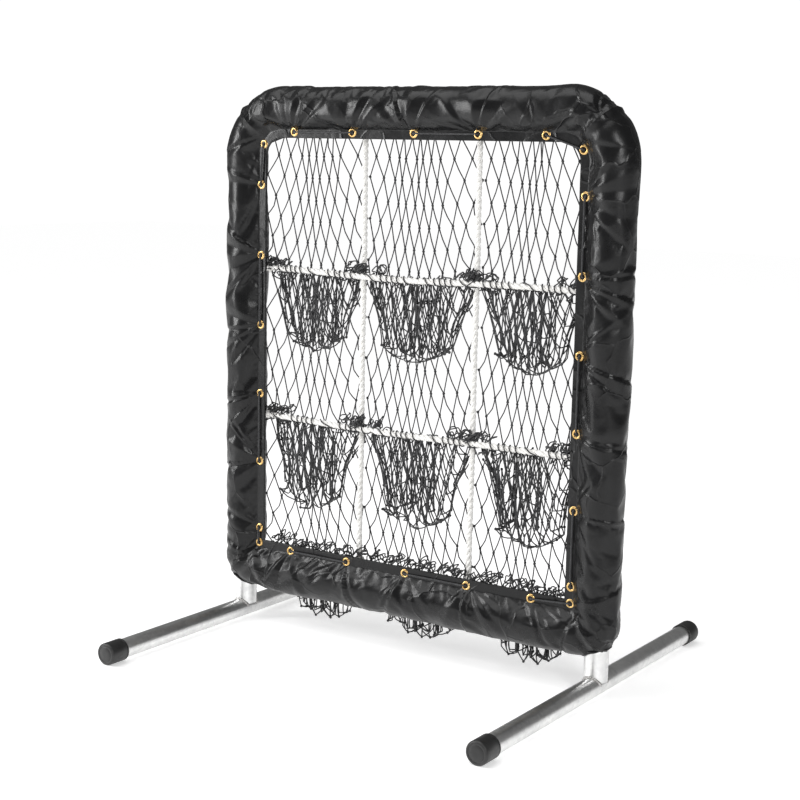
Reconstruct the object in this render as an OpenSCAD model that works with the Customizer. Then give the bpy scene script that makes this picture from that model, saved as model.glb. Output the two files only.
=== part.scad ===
// Pitching target net: a padded steel frame with nine net pockets, standing on two pull-off bases.
// Millimetres. The origin is on the floor, midway between the posts and along the legs.
// +X is across the frame, -Y is the side that the ball comes from, +Z is up.

/* [Frame] */
// Distance between the centres of the two posts
post_pitch = 762; // [700:1:800]
// Height of the padded frame's top above the floor
overall_height = 1016; // [990:1:1060]
// Height of the bottom crossbar's centre above the floor
crossbar_height = 107; // [105:1:112]
// Centreline radius of the bends at the top corners
bend_radius = 90; // [80:1:100]
// Outside diameter of the frame tube and the leg tubes
tube_od = 34.9; // [33:0.1:35.5]
// Wall thickness of every tube
tube_wall = 1.65; // [1.2:0.05:2]

/* [Padding] */
// Outside diameter of the padded frame
pad_od = 76; // [72:1:80]
// Thickness of the vinyl cover
cover_thickness = 1; // [0.8:0.1:1.5]
// Reach of the laced hem's free edge from the tube's centreline
hem_reach = 57; // [56:1:59]
// Distance of the grommets from the tube's centreline
grommet_reach = 45; // [45:0.5:46]
// Spacing of the grommets
grommet_pitch = 130; // [125:1:132]
// Diameter of the lacing cord
cord_diameter = 3; // [2:0.5:4]

/* [Ropes and net] */
// Diameter of the white dividing ropes
rope_diameter = 11; // [9:0.5:12]
// Height of the upper dividing rope
upper_rope_height = 682; // [670:1:700]
// Height of the lower dividing rope
lower_rope_height = 404; // [395:1:420]
// Distance of each upright rope from the middle of the frame
upright_rope_offset = 119; // [110:1:125]
// Thickness of the net pockets
net_thickness = 2; // [1.5:0.5:3]

/* [Bases] */
// Length of each leg tube
leg_length = 762; // [700:1:800]
// Outside diameter of the sockets that take the posts
socket_od = 41.3; // [40.5:0.1:42]
// Height of the sockets above the leg tubes
socket_rise = 48; // [44:1:49]
// Outside diameter of the end caps
cap_od = 39.7; // [39:0.1:41]
// Length of the end caps
cap_length = 40; // [35:1:45]

/* [Hidden] */
$fn = 64;

// Clearance between curved faces of neighbouring pieces
gap = 0.3;
post_x = post_pitch / 2;
pad_r = pad_od / 2;
tube_r = tube_od / 2;
top_z = overall_height - pad_r;
bend_x = post_x - bend_radius;
bend_z = top_z - bend_radius;
// Height of the leg tubes' centres, which the end caps hold off the floor
leg_z = cap_od / 2;
leg_top = leg_z + tube_r;
post_foot = leg_top + gap;
// Centreline radius of the padding round the two bottom corners
corner_radius = 20;
corner_x = post_x - corner_radius;
corner_z = crossbar_height + corner_radius;
cover_bore = pad_r - cover_thickness;
foam_r = cover_bore - gap;
foam_bore = tube_r + gap;
weld_size = 2.6;
// Extent of the cutting solids, past every face
far = 600;

steel = [0.72, 0.73, 0.74];
vinyl = [0.06, 0.06, 0.065];
foam = [0.30, 0.30, 0.32];
brass = [0.80, 0.62, 0.30];
rubber = [0.05, 0.05, 0.05];
rope_white = [0.93, 0.92, 0.88];
twine = [0.08, 0.08, 0.08];

// Front and back faces of the hem
hem_front = -16;
hem_back = -12;
hem_root = 30;

// Places of the grommets, [x, z], once round the frame from the bottom left corner
grommet_x = post_x - grommet_reach;
grommet_low = crossbar_height + grommet_reach;
grommet_high = top_z - grommet_reach;
first_grommet = 186;
side_grommets = [for (i = [0:5]) first_grommet + i * grommet_pitch];
bar_grommets = [for (i = [-2:2]) i * grommet_pitch];
bend_grommet = (bend_radius - grommet_reach) * [cos(30), sin(30)];
corner_grommet = [grommet_x, crossbar_height + 50];
grommet_places = concat(
    [[-corner_grommet[0], corner_grommet[1]]],
    [for (z = side_grommets) [-grommet_x, z]],
    [[-bend_x - bend_grommet[0], bend_z + bend_grommet[1]]],
    [for (x = bar_grommets) [x, grommet_high]],
    [[bend_x + bend_grommet[0], bend_z + bend_grommet[1]]],
    [for (i = [5:-1:0]) [grommet_x, side_grommets[i]]],
    [corner_grommet],
    [for (i = [4:-1:0]) [bar_grommets[i], grommet_low]]
);
grommet_bore = 4.2;
grommet_barrel = 4.8;
grommet_flange = 8.6;
grommet_length = 5;
washer_r = 8.2;
washer_bore = 5;
hem_hole = 5.1;

// The lacing runs in front of the hem and behind it by turns, through every grommet
cord_r = cord_diameter / 2;
cord_front = -19.5;
cord_back = -8.5;
grommet_count = len(grommet_places);
cord_route = [for (i = [0:grommet_count - 1]) for (k = [0, 1])
    [grommet_places[i][0], (i + k) % 2 == 0 ? cord_back : cord_front, grommet_places[i][1]]];

// The ropes: the level pair lies in front of the upright pair
rope_r = rope_diameter / 2;
knot_r = 8.5;
level_rope_y = -1.2;
upright_rope_y = level_rope_y + rope_diameter + gap;
rope_knot_x = post_x - 53;
upright_knot_low = crossbar_height + 47;
upright_knot_high = top_z - 47;

// The pockets: each hangs from the rope or bar above, and its bag hangs behind the net below
net_front = 19.5;
column_width = 206;
outer_column_x = upright_rope_offset + 3 + column_width / 2;
middle_width = 2 * upright_rope_offset - 6;
lip_drop = 14;
sheet_slope = 4;
floor_r = 16;
lip_rise = 2.5;

socket_r = socket_od / 2;
socket_top = leg_top + socket_rise;
saddle_z = leg_z + 9;
cap_r = cap_od / 2;
cap_wall = 4;
cap_edge = 3;

// A cylinder along X from x0 to x1, at height z
module along_x(r, x0, x1, z) {
    translate([x0, 0, z]) rotate([0, 90, 0]) cylinder(r = r, h = x1 - x0);
}

// A cylinder along Y from y0 to y1
module along_y(r, x, y0, y1, z) {
    translate([x, y0, z]) rotate([-90, 0, 0]) cylinder(r = r, h = y1 - y0);
}

// A flat outline in X and Z, given a thickness along Y from y0 to y1
module plate(y0, y1) {
    translate([0, y1, 0]) rotate([90, 0, 0]) linear_extrude(y1 - y0) children();
}

// A quarter bend of a round bar about a Y axis, starting at an angle from +X towards +Z
module bend(radius, r, start) {
    rotate([90, 0, 0]) rotate([0, 0, start]) rotate_extrude(angle = 90) intersection() {
        translate([radius, 0]) circle(r = r);
        translate([0, -far]) square([far, 2 * far]);
    }
}

// The frame's two posts, two top bends and top bar, as a bar of radius r
module hoop(r, foot) {
    for (side = [-1, 1]) translate([side * post_x, 0, foot]) cylinder(r = r, h = bend_z - foot);
    along_x(r, -bend_x, bend_x, top_z);
    translate([-bend_x, 0, bend_z]) bend(bend_radius, r, 90);
    translate([bend_x, 0, bend_z]) bend(bend_radius, r, 0);
}

// The padding's whole loop, as a bar of radius r
module pad_loop(r) {
    hoop(r, corner_z);
    along_x(r, -corner_x, corner_x, crossbar_height);
    translate([-corner_x, 0, corner_z]) bend(corner_radius, r, 180);
    translate([corner_x, 0, corner_z]) bend(corner_radius, r, 270);
}

// Everything between the two seams at the ends of one side, -1 left or 1 right
module side_sector(side) {
    inner = 160;
    plate(-far, far) polygon([
        [side * far, corner_x + corner_z - far],
        [side * inner, corner_x + corner_z - inner],
        [side * inner, bend_z - bend_x + inner],
        [side * far, bend_z - bend_x + far]
    ]);
}

// Everything between the two seams at the ends of the top bar
module top_sector() {
    apex = bend_z - bend_x;
    plate(-far, far) polygon([[0, apex], [far, apex + far], [-far, apex + far]]);
}

// Everything between the two seams at the ends of the bottom bar
module bottom_sector() {
    apex = corner_x + corner_z;
    plate(-far, far) polygon([[0, apex], [far, apex - far], [-far, apex - far]]);
}

// The outline of the space inside the frame, at a distance from the tube's centreline
module window(reach) {
    low = crossbar_height + reach;
    translate([-post_x + reach, low]) square([2 * (post_x - reach), bend_z - low]);
    translate([-bend_x, low]) square([2 * bend_x, top_z - reach - low]);
    for (side = [-1, 1]) translate([side * bend_x, bend_z]) circle(r = bend_radius - reach);
}

// Clear space for the sockets, up through the bottom corners of the padding
module socket_openings() {
    for (side = [-1, 1]) translate([side * post_x, 0, 0]) cylinder(r = socket_r + 1, h = socket_top + 2);
}

// The vinyl cover all round: its sleeve, its hem, the socket openings and the grommet holes
module cover_loop() {
    difference() {
        union() {
            pad_loop(pad_r);
            difference() {
                plate(hem_front, hem_back) window(hem_root);
                plate(hem_front - 1, hem_back + 1) window(hem_reach);
            }
        }
        pad_loop(cover_bore);
        socket_openings();
        for (place = grommet_places) along_y(hem_hole, place[0], hem_front - 1, hem_back + 1, place[1]);
    }
}

// The foam sleeves all round, bored for the tubes, the welds and the sockets
module foam_loop() {
    difference() {
        pad_loop(foam_r);
        hoop(foam_bore, 0);
        along_x(foam_bore, -post_x, post_x, crossbar_height);
        for (side = [-1, 1]) along_x(
            tube_r + weld_size + gap,
            side * (post_x - 10) - 14,
            side * (post_x - 10) + 14,
            crossbar_height
        );
        socket_openings();
    }
}

// Crossbar weld at one post: a saddle bead round the joint
module crossbar_weld(side) {
    color(steel) difference() {
        intersection() {
            along_x(tube_r + weld_size, -far, far, crossbar_height);
            translate([side * post_x, 0, 0]) cylinder(r = tube_r + weld_size, h = 2 * crossbar_height);
            translate([side * (post_x - tube_r) - tube_r, -far, 0]) cube([tube_od, 2 * far, far]);
        }
        along_x(tube_r, -far, far, crossbar_height);
        translate([side * post_x, 0, 0]) cylinder(r = tube_r, h = 2 * crossbar_height);
    }
}

module frame_hoop() {
    color(steel) difference() {
        hoop(tube_r, post_foot);
        hoop(tube_r - tube_wall, post_foot - 1);
    }
}

module bottom_crossbar() {
    color(steel) difference() {
        along_x(tube_r, -post_x, post_x, crossbar_height);
        along_x(tube_r - tube_wall, -post_x, post_x, crossbar_height);
        for (side = [-1, 1]) translate([side * post_x, 0, 0]) cylinder(r = tube_r, h = 2 * crossbar_height);
    }
}

module crossbar_weld_left() { crossbar_weld(-1); }
module crossbar_weld_right() { crossbar_weld(1); }

module foam_top() {
    color(foam) intersection() {
        foam_loop();
        top_sector();
    }
}

module foam_left() {
    color(foam) intersection() {
        foam_loop();
        side_sector(-1);
    }
}

module foam_right() {
    color(foam) intersection() {
        foam_loop();
        side_sector(1);
    }
}

module foam_bottom() {
    color(foam) intersection() {
        foam_loop();
        bottom_sector();
    }
}

module cover_top() {
    color(vinyl) intersection() {
        cover_loop();
        top_sector();
    }
}

module cover_left() {
    color(vinyl) intersection() {
        cover_loop();
        side_sector(-1);
    }
}

module cover_right() {
    color(vinyl) intersection() {
        cover_loop();
        side_sector(1);
    }
}

module cover_bottom() {
    color(vinyl) intersection() {
        cover_loop();
        bottom_sector();
    }
}

// One grommet: a barrel through the hem, with a rounded flange on the front
module grommet() {
    rotate([90, 0, 0]) rotate_extrude() polygon([
        [grommet_bore, -grommet_length],
        [grommet_barrel, -grommet_length],
        [grommet_barrel, 0],
        [grommet_flange, 0],
        [grommet_flange - 0.4, 0.8],
        [grommet_flange - 2, 1.4],
        [grommet_barrel + 0.8, 1.4],
        [grommet_bore, 0.4]
    ]);
}

module grommets() {
    color(brass) for (place = grommet_places) translate([place[0], hem_front, place[1]]) grommet();
}

module grommet_washers() {
    color(brass) for (place = grommet_places) difference() {
        along_y(washer_r, place[0], hem_back, hem_back + 0.8, place[1]);
        along_y(washer_bore, place[0], hem_back - 1, hem_back + 2, place[1]);
    }
}

function unit(v) = v / norm(v);
function route_point(i) = cord_route[(i + len(cord_route)) % len(cord_route)];
// Across the route, in the frame's plane
function across(i) = let (d = route_point(i + 2) - route_point(i - 2)) unit([-d[2], 0, d[0]]);
// One ring of the cord, set on the mitre of its right-angled turn
function cord_ring(i, sides) = let (
    along = unit(route_point(i + 1) - route_point(i - 1)),
    flat = across(i),
    u = unit(flat - along * (flat * along)),
    v = cross(along, u)
) [for (k = [0:sides - 1]) route_point(i)
    + cord_r * (cos(360 * k / sides) * u + sqrt(2) * sin(360 * k / sides) * v)];

// The lacing cord: one closed loop through all the grommets
module lacing_cord() {
    sides = 8;
    rings = len(cord_route);
    points = [for (i = [0:rings - 1]) each cord_ring(i, sides)];
    faces = [for (i = [0:rings - 1]) for (k = [0:sides - 1]) [
        i * sides + k,
        i * sides + (k + 1) % sides,
        ((i + 1) % rings) * sides + (k + 1) % sides,
        ((i + 1) % rings) * sides + k
    ]];
    color(twine) polyhedron(points, faces);
}

// A rope standing on its lower knot: a round bar with a round knot at each end
module rope(length) {
    rotate_extrude() intersection() {
        union() {
            circle(r = knot_r);
            translate([-rope_r, 0]) square([2 * rope_r, length]);
            translate([0, length]) circle(r = knot_r);
        }
        translate([0, -far]) square([far, 3 * far]);
    }
}

// A rope across the frame, with a knot behind the hem at each end
module level_rope(z) {
    color(rope_white) translate([-rope_knot_x, level_rope_y, z]) rotate([0, 90, 0]) rope(2 * rope_knot_x);
}

// A rope from the bottom bar to the top bar, with a knot behind the hem at each end
module upright_rope(x) {
    color(rope_white) translate([x, upright_rope_y, upright_knot_low]) rope(upright_knot_high - upright_knot_low);
}

module rope_upper() { level_rope(upper_rope_height); }
module rope_lower() { level_rope(lower_rope_height); }
module rope_upright_left() { upright_rope(-upright_rope_offset); }
module rope_upright_right() { upright_rope(upright_rope_offset); }

// The side view of a pocket's outside, [y, z], with its skin taken in by inset
function pocket_outline(inset, top, slope_top, slope_foot, lip, low, wall, back) = concat(
    [
        [net_front - (inset > 0 ? 5 : 0), lip + (inset > 0 ? lip_rise : 0)],
        [net_front, lip + (inset > 0 ? lip_rise : 0)],
        [wall + inset, lip - lip_drop + inset]
    ],
    [for (a = [180:22.5:360]) [(wall + back) / 2, low + floor_r] + (floor_r - inset) * [cos(a), sin(a)]],
    [
        [back - inset, slope_foot],
        [net_front + sheet_slope + net_thickness - inset, slope_top],
        [net_front + net_thickness - inset, top + (inset > 0 ? 1 : 0)],
        [net_front - (inset > 0 ? 5 : 0), top + (inset > 0 ? 1 : 0)]
    ]
);

// A net pocket: open in front above its lip, with a bag that hangs behind and below the lip
module pocket(x, width, top, slope_top, slope_foot, lip, low, wall) {
    back = wall + 2 * floor_r;
    inner = width - 2 * net_thickness;
    color(twine) difference() {
        translate([x - width / 2, 0, 0]) rotate([90, 0, 90]) linear_extrude(width)
            polygon(pocket_outline(0, top, slope_top, slope_foot, lip, low, wall, back));
        translate([x - inner / 2, 0, 0]) rotate([90, 0, 90]) linear_extrude(inner)
            polygon(pocket_outline(net_thickness, top, slope_top, slope_foot, lip, low, wall, back));
    }
}

bag_wall = 32;
module top_pocket(x, width) {
    pocket(x, width, top_z - 48, top_z - 63, top_z - 118, upper_rope_height, 530, bag_wall);
}
module middle_pocket(x, width) {
    pocket(x, width, upper_rope_height - 6, 520, 475, lower_rope_height, 225, bag_wall);
}
// The bottom bags hang behind the bottom bar's padding
module bottom_pocket(x, width) {
    pocket(x, width, lower_rope_height - 6, 215, 170, crossbar_height + 51, 14, bag_wall + 12);
}

module net_top_left() { top_pocket(-outer_column_x, column_width); }
module net_top_middle() { top_pocket(0, middle_width); }
module net_top_right() { top_pocket(outer_column_x, column_width); }
module net_middle_left() { middle_pocket(-outer_column_x, column_width); }
module net_middle_middle() { middle_pocket(0, middle_width); }
module net_middle_right() { middle_pocket(outer_column_x, column_width); }
module net_bottom_left() { bottom_pocket(-outer_column_x, column_width); }
module net_bottom_middle() { bottom_pocket(0, middle_width); }
module net_bottom_right() { bottom_pocket(outer_column_x, column_width); }

// The upright tube on a base that a post drops into, cut to sit on the leg tube
module socket(side) {
    color(steel) difference() {
        translate([side * post_x, 0, saddle_z]) cylinder(r = socket_r, h = socket_top - saddle_z);
        translate([side * post_x, 0, 0]) cylinder(r = socket_r - tube_wall, h = socket_top + 1);
        along_y(tube_r, side * post_x, -far, far, leg_z);
    }
}

// Socket weld: a saddle bead round the foot of a socket
module socket_weld(side) {
    color(steel) difference() {
        intersection() {
            along_y(tube_r + weld_size, side * post_x, -far, far, leg_z);
            translate([side * post_x, 0, leg_z + 6]) cylinder(r = socket_r + weld_size, h = leg_top);
        }
        along_y(tube_r, side * post_x, -far, far, leg_z);
        translate([side * post_x, 0, 0]) cylinder(r = socket_r, h = far);
    }
}

module leg_tube(side) {
    color(steel) difference() {
        along_y(tube_r, side * post_x, -leg_length / 2, leg_length / 2, leg_z);
        along_y(tube_r - tube_wall, side * post_x, -leg_length / 2 - 1, leg_length / 2 + 1, leg_z);
    }
}

// A push-on cup over one end of a leg tube, -1 front or 1 rear
module end_cap(side, end) {
    face = leg_length / 2 + gap + cap_wall;
    color(rubber) translate([side * post_x, end * face, leg_z]) rotate([end * 90, 0, 0]) rotate_extrude()
        difference() {
            union() {
                square([cap_r - cap_edge, cap_length]);
                translate([0, cap_edge]) square([cap_r, cap_length - cap_edge]);
                translate([cap_r - cap_edge, cap_edge]) circle(r = cap_edge);
            }
            translate([0, cap_wall]) square([tube_r + gap, cap_length]);
            translate([cap_r - 7, -1]) square([1.2, 1.6]);
        }
}

module left_socket() { socket(-1); }
module left_socket_weld() { socket_weld(-1); }
module left_leg_tube() { leg_tube(-1); }
module left_front_cap() { end_cap(-1, -1); }
module left_rear_cap() { end_cap(-1, 1); }
module right_socket() { socket(1); }
module right_socket_weld() { socket_weld(1); }
module right_leg_tube() { leg_tube(1); }
module right_front_cap() { end_cap(1, -1); }
module right_rear_cap() { end_cap(1, 1); }

frame_hoop();
bottom_crossbar();
crossbar_weld_left();
crossbar_weld_right();
foam_top();
foam_left();
foam_right();
foam_bottom();
cover_top();
cover_left();
cover_right();
cover_bottom();
grommets();
grommet_washers();
lacing_cord();
rope_upper();
rope_lower();
rope_upright_left();
rope_upright_right();
net_top_left();
net_top_middle();
net_top_right();
net_middle_left();
net_middle_middle();
net_middle_right();
net_bottom_left();
net_bottom_middle();
net_bottom_right();
left_socket();
left_socket_weld();
left_leg_tube();
left_front_cap();
left_rear_cap();
right_socket();
right_socket_weld();
right_leg_tube();
right_front_cap();
right_rear_cap();
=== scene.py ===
"""The looks of a pitching target net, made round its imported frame. Metres, +Z up, -Y towards the pitcher."""

from math import cos, pi, radians, sin

import bmesh
import bpy
import numpy as np
from mathutils import Matrix, Vector


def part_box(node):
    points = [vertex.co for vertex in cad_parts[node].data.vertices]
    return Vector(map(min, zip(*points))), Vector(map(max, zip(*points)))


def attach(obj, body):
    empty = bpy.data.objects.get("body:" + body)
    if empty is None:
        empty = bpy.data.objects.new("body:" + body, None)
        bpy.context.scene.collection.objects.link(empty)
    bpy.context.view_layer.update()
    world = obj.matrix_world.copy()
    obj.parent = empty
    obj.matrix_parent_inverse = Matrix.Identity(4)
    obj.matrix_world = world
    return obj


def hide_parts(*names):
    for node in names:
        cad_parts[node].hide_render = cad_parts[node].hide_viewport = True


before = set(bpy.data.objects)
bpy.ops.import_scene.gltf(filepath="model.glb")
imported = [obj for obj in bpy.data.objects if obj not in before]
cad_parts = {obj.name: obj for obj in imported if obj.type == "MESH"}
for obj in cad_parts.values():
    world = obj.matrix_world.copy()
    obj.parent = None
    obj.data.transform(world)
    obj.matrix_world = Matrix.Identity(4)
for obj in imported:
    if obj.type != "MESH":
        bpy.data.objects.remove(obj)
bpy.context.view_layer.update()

# ---------------------------------------------------------------- places, some taken from the frame and some given as numbers


def span(node, axis):
    """The lowest and highest value of a node along one axis."""
    low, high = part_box(node)
    return low[axis], high[axis]


def middle(node, axis):
    return sum(span(node, axis)) / 2


POST_X = middle("right_socket", 0)
PAD_R = span("cover_bottom", 1)[1]
BAR_Z = span("cover_bottom", 2)[0] + PAD_R
TOP_Z = span("cover_top", 2)[1] - PAD_R
BEND_R = 0.090  # centreline radius of the top corners
CORNER_R = 0.020  # centreline radius of the padding round the bottom corners
BEND_X, BEND_Z = POST_X - BEND_R, TOP_Z - BEND_R
CORNER_X, CORNER_Z = POST_X - CORNER_R, BAR_Z + CORNER_R
ROPE_R = 0.0055
LEVEL_ROPE_Y = middle("rope_upper", 1)
UPRIGHT_ROPE_Y = middle("rope_upright_left", 1)
UPPER_Z, LOWER_Z = middle("rope_upper", 2), middle("rope_lower", 2)
UPRIGHT_X = middle("rope_upright_right", 0)
HEM_FRONT = span("grommets", 1)[0] + 0.0014
HEM_BACK = HEM_FRONT + 0.004
HEM_REACH = 0.0560  # from the tube's centreline to the hem's free edge
GROMMET_REACH = 0.045
GROMMET_PITCH = 0.130
FIRST_GROMMET_Z = 0.186
TWINE_R = 0.00115
BAR_LENGTH = 0.040  # the net's twine between two knots


def grommet_places():
    """(x, z, inward direction) of each grommet, once round from the bottom left corner."""
    x, low, high = POST_X - GROMMET_REACH, BAR_Z + GROMMET_REACH, TOP_Z - GROMMET_REACH
    sides = [FIRST_GROMMET_Z + i * GROMMET_PITCH for i in range(6)]
    across = [i * GROMMET_PITCH for i in range(-2, 3)]
    arm, turn = BEND_R - GROMMET_REACH, radians(30)
    corner = (x, BAR_Z + 0.050)
    bend = (BEND_X + arm * cos(turn), BEND_Z + arm * sin(turn))
    return (
        [(-corner[0], corner[1], (1, 0))]
        + [(-x, z, (1, 0)) for z in sides]
        + [(-bend[0], bend[1], (cos(turn), -sin(turn)))]
        + [(a, high, (0, -1)) for a in across]
        + [(bend[0], bend[1], (-cos(turn), -sin(turn)))]
        + [(x, z, (-1, 0)) for z in reversed(sides)]
        + [(corner[0], corner[1], (-1, 0))]
        + [(a, low, (0, 1)) for a in reversed(across)]
    )


GROMMETS = grommet_places()

# ---------------------------------------------------------------- camera, light and floor


def add_camera():
    data = bpy.data.cameras.new("camera")
    data.lens, data.sensor_width = 70.8, 36.0
    data.clip_end = 50
    camera = bpy.data.objects.new("camera", data)
    bpy.context.collection.objects.link(camera)
    azimuth, elevation, roll = radians(34.0), radians(9.0), radians(1.15)
    ahead = Vector((-sin(azimuth) * cos(elevation), cos(azimuth) * cos(elevation), -sin(elevation)))
    right = Vector((cos(azimuth), sin(azimuth), 0))
    up = right.cross(ahead)
    right, up = right * cos(roll) + up * sin(roll), up * cos(roll) - right * sin(roll)
    turn = Matrix((right, up, -ahead)).transposed().to_4x4()
    camera.matrix_world = Matrix.Translation((1.5245, -2.3015, 0.903)) @ turn
    bpy.context.scene.camera = camera


def area_light(name, place, target, size, power, colour=(1, 1, 1)):
    data = bpy.data.lights.new(name, "AREA")
    data.shape, data.size, data.size_y = "RECTANGLE", size[0], size[1]
    data.energy, data.color = power, colour
    light = bpy.data.objects.new(name, data)
    bpy.context.collection.objects.link(light)
    light.location = place
    light.rotation_euler = (Vector(target) - Vector(place)).to_track_quat("-Z", "Y").to_euler()


def add_light():
    """White all round for the eye, dimmer for reflections, with a broad light above and one at each side."""
    world = bpy.data.worlds.new("studio")
    bpy.context.scene.world = world
    world.use_nodes = True
    nodes, links = world.node_tree.nodes, world.node_tree.links
    background = nodes["Background"]
    background.inputs["Color"].default_value = (1, 1, 1, 1)
    seen = nodes.new("ShaderNodeLightPath").outputs["Is Camera Ray"]
    level = node(nodes, "ShaderNodeMapRange")
    level.inputs["To Min"].default_value = 0.15
    level.inputs["To Max"].default_value = 1.05
    links.new(seen, level.inputs["Value"])
    links.new(level.outputs[0], background.inputs["Strength"])
    data = bpy.data.lights.new("overhead", "SUN")
    data.energy, data.angle = 1.7, radians(56)
    sun = bpy.data.objects.new("overhead", data)
    bpy.context.collection.objects.link(sun)
    sun.rotation_euler = Vector((0.25, 0.30, -1.0)).to_track_quat("-Z", "Y").to_euler()
    area_light("left_box", (-2.2, -1.6, 1.3), (0, 0, 0.5), (0.5, 1.6), 46)
    area_light("right_box", (2.6, -2.0, 1.8), (0, 0, 0.6), (0.5, 1.2), 34)
    bpy.context.scene.view_settings.view_transform = "Standard"


def add_floor():
    bpy.ops.mesh.primitive_plane_add(size=24, location=(0, 0, 0))
    floor = bpy.context.object
    floor.name = "floor"
    m, _, _, shader = new_material("floor_white")
    shader.inputs["Base Color"].default_value = (0.95, 0.95, 0.95, 1)
    shader.inputs["Emission Color"].default_value = (1, 1, 1, 1)
    shader.inputs["Emission Strength"].default_value = 0.46
    shader.inputs["Roughness"].default_value = 0.5
    floor.data.materials.append(m)


# ---------------------------------------------------------------- materials


def new_material(name):
    m = bpy.data.materials.new(name)
    m.use_nodes = True
    nodes, links = m.node_tree.nodes, m.node_tree.links
    return m, nodes, links, nodes["Principled BSDF"]


def node(nodes, kind, **values):
    """A shader node, with its properties and inputs set by name."""
    n = nodes.new(kind)
    for key, value in values.items():
        if hasattr(n, key):
            setattr(n, key, value)
        else:
            n.inputs[key.replace("_", " ")].default_value = value
    return n


def ramp(nodes, links, source, stops):
    """A colour ramp on a value, with stops of (place, grey or colour)."""
    r = nodes.new("ShaderNodeValToRGB")
    elements = r.color_ramp.elements
    while len(elements) < len(stops):
        elements.new(0.5)
    for element, (place, colour) in zip(elements, stops):
        element.position = place
        element.color = (*colour, 1) if isinstance(colour, tuple) else (colour, colour, colour, 1)
    links.new(source, r.inputs[0])
    return r.outputs[0]


def noise(nodes, links, scale, detail=4.0, roughness=0.5, stretch=(1, 1, 1)):
    """Noise over the object's own coordinates, stretched along an axis if asked."""
    where = nodes.new("ShaderNodeTexCoord").outputs["Object"]
    mapping = node(nodes, "ShaderNodeMapping")
    mapping.inputs["Scale"].default_value = stretch
    links.new(where, mapping.inputs["Vector"])
    n = node(nodes, "ShaderNodeTexNoise", Scale=scale, Detail=detail, Roughness=roughness)
    links.new(mapping.outputs[0], n.inputs["Vector"])
    return n.outputs["Fac"]


def bump(nodes, links, height, strength, distance, normal=None):
    b = node(nodes, "ShaderNodeBump", Strength=strength, Distance=distance)
    links.new(height, b.inputs["Height"])
    if normal is not None:
        links.new(normal, b.inputs["Normal"])
    return b.outputs["Normal"]


def crease_lines(nodes, links, scale, normal):
    """Fine sharp creases that wander over a surface, as where vinyl has been folded."""
    where = nodes.new("ShaderNodeTexCoord").outputs["Object"]
    warp = node(nodes, "ShaderNodeTexNoise", Scale=9.0, Detail=3.0)
    links.new(where, warp.inputs["Vector"])
    shift = node(nodes, "ShaderNodeVectorMath", operation="MULTIPLY_ADD")
    links.new(warp.outputs["Color"], shift.inputs[0])
    shift.inputs[1].default_value = (0.09, 0.09, 0.09)
    links.new(where, shift.inputs[2])
    cells = node(nodes, "ShaderNodeTexVoronoi", Scale=scale, feature="DISTANCE_TO_EDGE")
    links.new(shift.outputs[0], cells.inputs["Vector"])
    line = ramp(nodes, links, cells.outputs["Distance"], [(0.0, 1.0), (0.035, 0.25), (0.12, 0.0)])
    patchy = ramp(nodes, links, noise(nodes, links, 7, 3, 0.5), [(0.42, 0.0), (0.58, 1.0)])
    height = node(nodes, "ShaderNodeMath", operation="MULTIPLY")
    links.new(line, height.inputs[0])
    links.new(patchy, height.inputs[1])
    return bump(nodes, links, height.outputs[0], 0.55, 0.0022, normal)


def vinyl_material():
    m, nodes, links, shader = new_material("black_vinyl")
    stops = [(0.3, (0.004, 0.004, 0.0043)), (0.7, (0.009, 0.009, 0.0095))]
    shade = ramp(nodes, links, noise(nodes, links, 9, 5, 0.6), stops)
    links.new(shade, shader.inputs["Base Color"])
    rough = ramp(nodes, links, noise(nodes, links, 14, 6, 0.65), [(0.32, 0.24), (0.7, 0.38)])
    links.new(rough, shader.inputs["Roughness"])
    shader.inputs["Specular IOR Level"].default_value = 0.32
    cells = node(nodes, "ShaderNodeTexVoronoi", Scale=900.0, feature="DISTANCE_TO_EDGE")
    links.new(nodes.new("ShaderNodeTexCoord").outputs["Object"], cells.inputs["Vector"])
    grain = bump(nodes, links, cells.outputs["Distance"], 0.10, 0.0004)
    soft = bump(nodes, links, noise(nodes, links, 38, 5, 0.55), 0.30, 0.003, grain)
    links.new(crease_lines(nodes, links, 13.0, soft), shader.inputs["Normal"])
    return m


def steel_material():
    m, nodes, links, shader = new_material("galvanised_steel")
    shader.inputs["Metallic"].default_value = 1.0
    spangle = node(nodes, "ShaderNodeTexVoronoi", Scale=160.0)
    links.new(nodes.new("ShaderNodeTexCoord").outputs["Object"], spangle.inputs["Vector"])
    cloud = noise(nodes, links, 22, 5, 0.6)
    mix = node(nodes, "ShaderNodeMix", data_type="FLOAT")
    mix.inputs[0].default_value = 0.3
    links.new(cloud, mix.inputs[2])
    links.new(spangle.outputs["Color"], mix.inputs[3])
    shade = ramp(nodes, links, mix.outputs[0], [(0.3, (0.66, 0.66, 0.66)), (0.7, (0.84, 0.84, 0.83))])
    links.new(shade, shader.inputs["Base Color"])
    rough = ramp(nodes, links, noise(nodes, links, 60, 5, 0.6, (1, 0.12, 1)), [(0.3, 0.28), (0.75, 0.46)])
    links.new(rough, shader.inputs["Roughness"])
    streaks = bump(nodes, links, noise(nodes, links, 240, 4, 0.6, (1, 0.04, 1)), 0.12, 0.0006)
    dents = bump(nodes, links, noise(nodes, links, 30, 3, 0.5), 0.10, 0.002, streaks)
    links.new(dents, shader.inputs["Normal"])
    return m


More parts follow.
